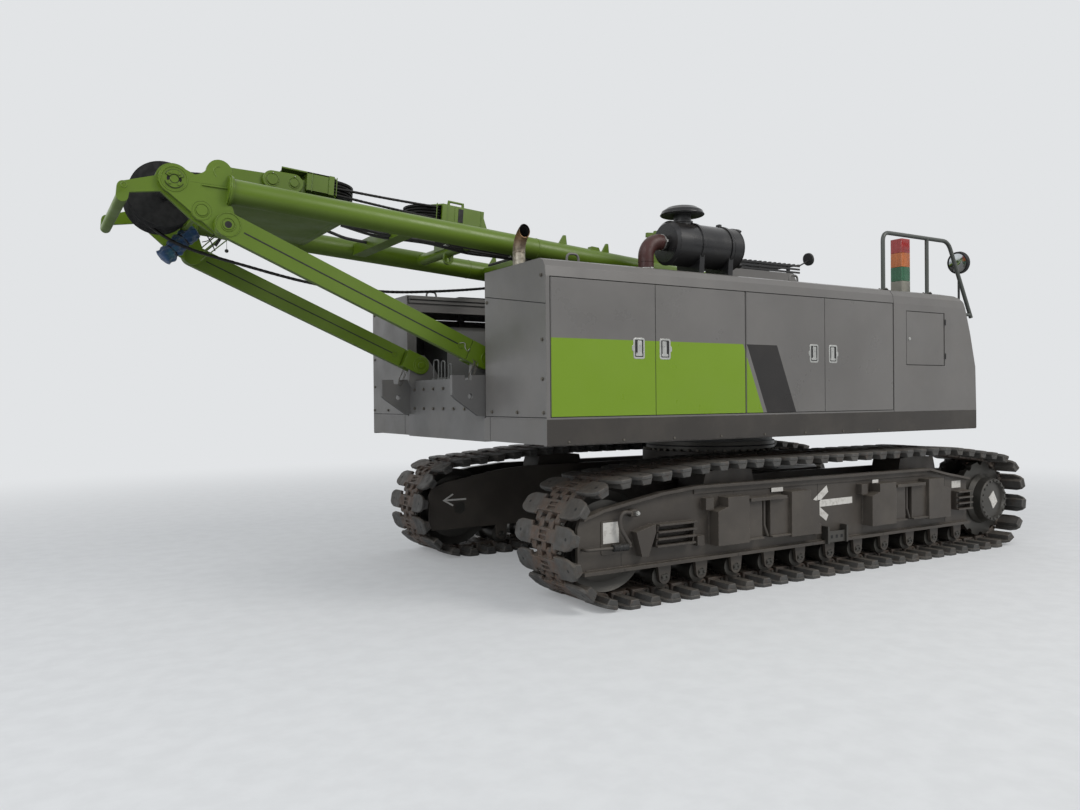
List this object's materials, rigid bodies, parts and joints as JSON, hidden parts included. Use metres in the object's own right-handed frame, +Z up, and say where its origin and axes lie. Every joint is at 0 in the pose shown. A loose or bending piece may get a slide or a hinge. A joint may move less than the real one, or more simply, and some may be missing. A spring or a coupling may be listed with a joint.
{
  "type": "crawler crane base machine with laid-back mast",
  "caption": "Crawler crane base machine on retracted tracks, with twin engine houses, cab and its mast laid back on folded legs.",
  "frame": {"origin": "on the ground, under the middle of the whole machine's box", "axes": "+X forward towards the cab and sprockets, +Y to the machine's left, +Z up"},
  "size_m": [8.309, 3.35, 3.3188],
  "materials": {
    "undercarriage_paint": "satin, dusty",
    "track_steel": "worn, dusty",
    "running_steel": "satin",
    "lime_paint": "semi-gloss",
    "lime_door_paint": "semi-gloss",
    "grey_paint": "semi-gloss",
    "skirt_paint": "satin",
    "engine_paint": "satin",
    "tank_paint": "satin",
    "winch_steel": "greased",
    "window_glass": "tinted",
    "seat_cover": "matt",
    "guard_paint": "satin",
    "exhaust_rust": "heat-stained, rusty",
    "cleaner_paint": "semi-gloss",
    "elbow_rubber": "matt",
    "lamp_lens": "translucent",
    "rail_paint": "satin",
    "mirror_housing": "matt",
    "sheave_steel": "greased"
  },
  "bodies": {
    "undercarriage": {"carbody": "undercarriage_paint", "slewing_ring": "running_steel", "track_frame_r": "undercarriage_paint", "track_frame_l": "undercarriage_paint", "track_r": "track_steel", "track_l": "track_steel", "sprocket_r": "running_steel", "sprocket_l": "running_steel", "idler_r": "running_steel", "idler_l": "running_steel", "rollers_r": "running_steel", "rollers_l": "running_steel", "step_boxes_r": "undercarriage_paint", "step_boxes_l": "undercarriage_paint"},
    "mast": {"mast": "lime_paint", "head_sheaves": "sheave_steel", "rope_block": "lime_paint", "bridle_block": "lime_paint", "block_sheaves": "sheave_steel"},
    "leg_bars": {"leg_bars": "lime_paint"},
    "leg_sleeves": {"leg_sleeves": "lime_paint"},
    "access_flap": {"access_flap": "grey_paint"},
    "cab_door": {"cab_door": "grey_paint"},
    "door_r1": {"door_r1": "lime_door_paint"},
    "door_r2": {"door_r2": "lime_door_paint"},
    "door_r3": {"door_r3": "grey_paint"},
    "door_r4": {"door_r4": "grey_paint"},
    "door_l1": {"door_l1": "grey_paint"},
    "door_l2": {"door_l2": "grey_paint"},
    "door_l3": {"door_l3": "grey_paint"},
    "door_l4": {"door_l4": "grey_paint"},
    "upperworks": {"upper_frame": "grey_paint", "deck_r": "skirt_paint", "deck_l": "skirt_paint", "house_r": "grey_paint", "house_l": "grey_paint", "engine_block": "engine_paint", "hydraulic_tank": "tank_paint", "winches": "winch_steel", "cab_shell": "grey_paint", "cab_glass": "window_glass", "cab_seat": "seat_cover", "cab_guard": "guard_paint", "exhaust": "exhaust_rust", "air_cleaner": "cleaner_paint", "intake_elbow": "elbow_rubber", "lamp_tower": "lamp_lens", "handrail": "rail_paint", "mirror_r": "mirror_housing"}
  },
  "joints": [
    {"name": "slewing", "type": "hinge", "parent": "undercarriage", "child": "upperworks", "pos_m": [1.34285, 0, 1.1], "axis": [0, 0, 1], "continuous": true},
    {"name": "mast_hinge", "type": "hinge", "parent": "upperworks", "child": "mast", "pos_m": [2.49285, 0, 2.462], "axis": [0, 1, 0], "range_deg": [0, 25]},
    {"name": "leg_swing", "type": "hinge", "parent": "upperworks", "child": "leg_bars", "pos_m": [-1.58715, 0, 1.84], "axis": [0, 1, 0], "range_deg": [0, 45.59]},
    {"name": "leg_extension", "type": "slide", "parent": "leg_bars", "child": "leg_sleeves", "axis": [-0.914, 0, 0.4058], "range_m": [0, 1.4951]},
    {"name": "door_r1_hinge", "type": "hinge", "parent": "upperworks", "child": "door_r1", "pos_m": [-1.58515, -1.632, 1.8775], "axis": [0, 0, -1], "range_deg": [0, 90]},
    {"name": "door_r2_hinge", "type": "hinge", "parent": "upperworks", "child": "door_r2", "pos_m": [0.20685, -1.632, 1.8775], "axis": [0, 0, 1], "range_deg": [0, 90]},
    {"name": "door_r3_hinge", "type": "hinge", "parent": "upperworks", "child": "door_r3", "pos_m": [0.24285, -1.632, 1.8775], "axis": [0, 0, -1], "range_deg": [0, 90]},
    {"name": "door_r4_hinge", "type": "hinge", "parent": "upperworks", "child": "door_r4", "pos_m": [2.03485, -1.632, 1.8775], "axis": [0, 0, 1], "range_deg": [0, 90]},
    {"name": "door_l1_hinge", "type": "hinge", "parent": "upperworks", "child": "door_l1", "pos_m": [-1.58515, 1.632, 1.8775], "axis": [0, 0, 1], "range_deg": [0, 90]},
    {"name": "door_l2_hinge", "type": "hinge", "parent": "upperworks", "child": "door_l2", "pos_m": [0.20685, 1.632, 1.8775], "axis": [0, 0, -1], "range_deg": [0, 90]},
    {"name": "door_l3_hinge", "type": "hinge", "parent": "upperworks", "child": "door_l3", "pos_m": [0.24285, 1.632, 1.8775], "axis": [0, 0, 1], "range_deg": [0, 90]},
    {"name": "door_l4_hinge", "type": "hinge", "parent": "upperworks", "child": "door_l4", "pos_m": [2.03485, 1.632, 1.8775], "axis": [0, 0, -1], "range_deg": [0, 90]},
    {"name": "access_flap_hinge", "type": "hinge", "parent": "upperworks", "child": "access_flap", "pos_m": [2.78785, -1.632, 2.052], "axis": [0, 0, 1], "range_deg": [0, 90]},
    {"name": "cab_door_hinge", "type": "hinge", "parent": "upperworks", "child": "cab_door", "pos_m": [2.52285, 1.627, 2.1], "axis": [0, 0, 1], "range_deg": [0, 90]}
  ],
  "couplings": [
    {"joint": "leg_swing", "follows": "mast_hinge", "ratio": 1.8231},
    {"joint": "leg_extension", "follows": "mast_hinge", "m_per_rad": 3.4254}
  ]
}
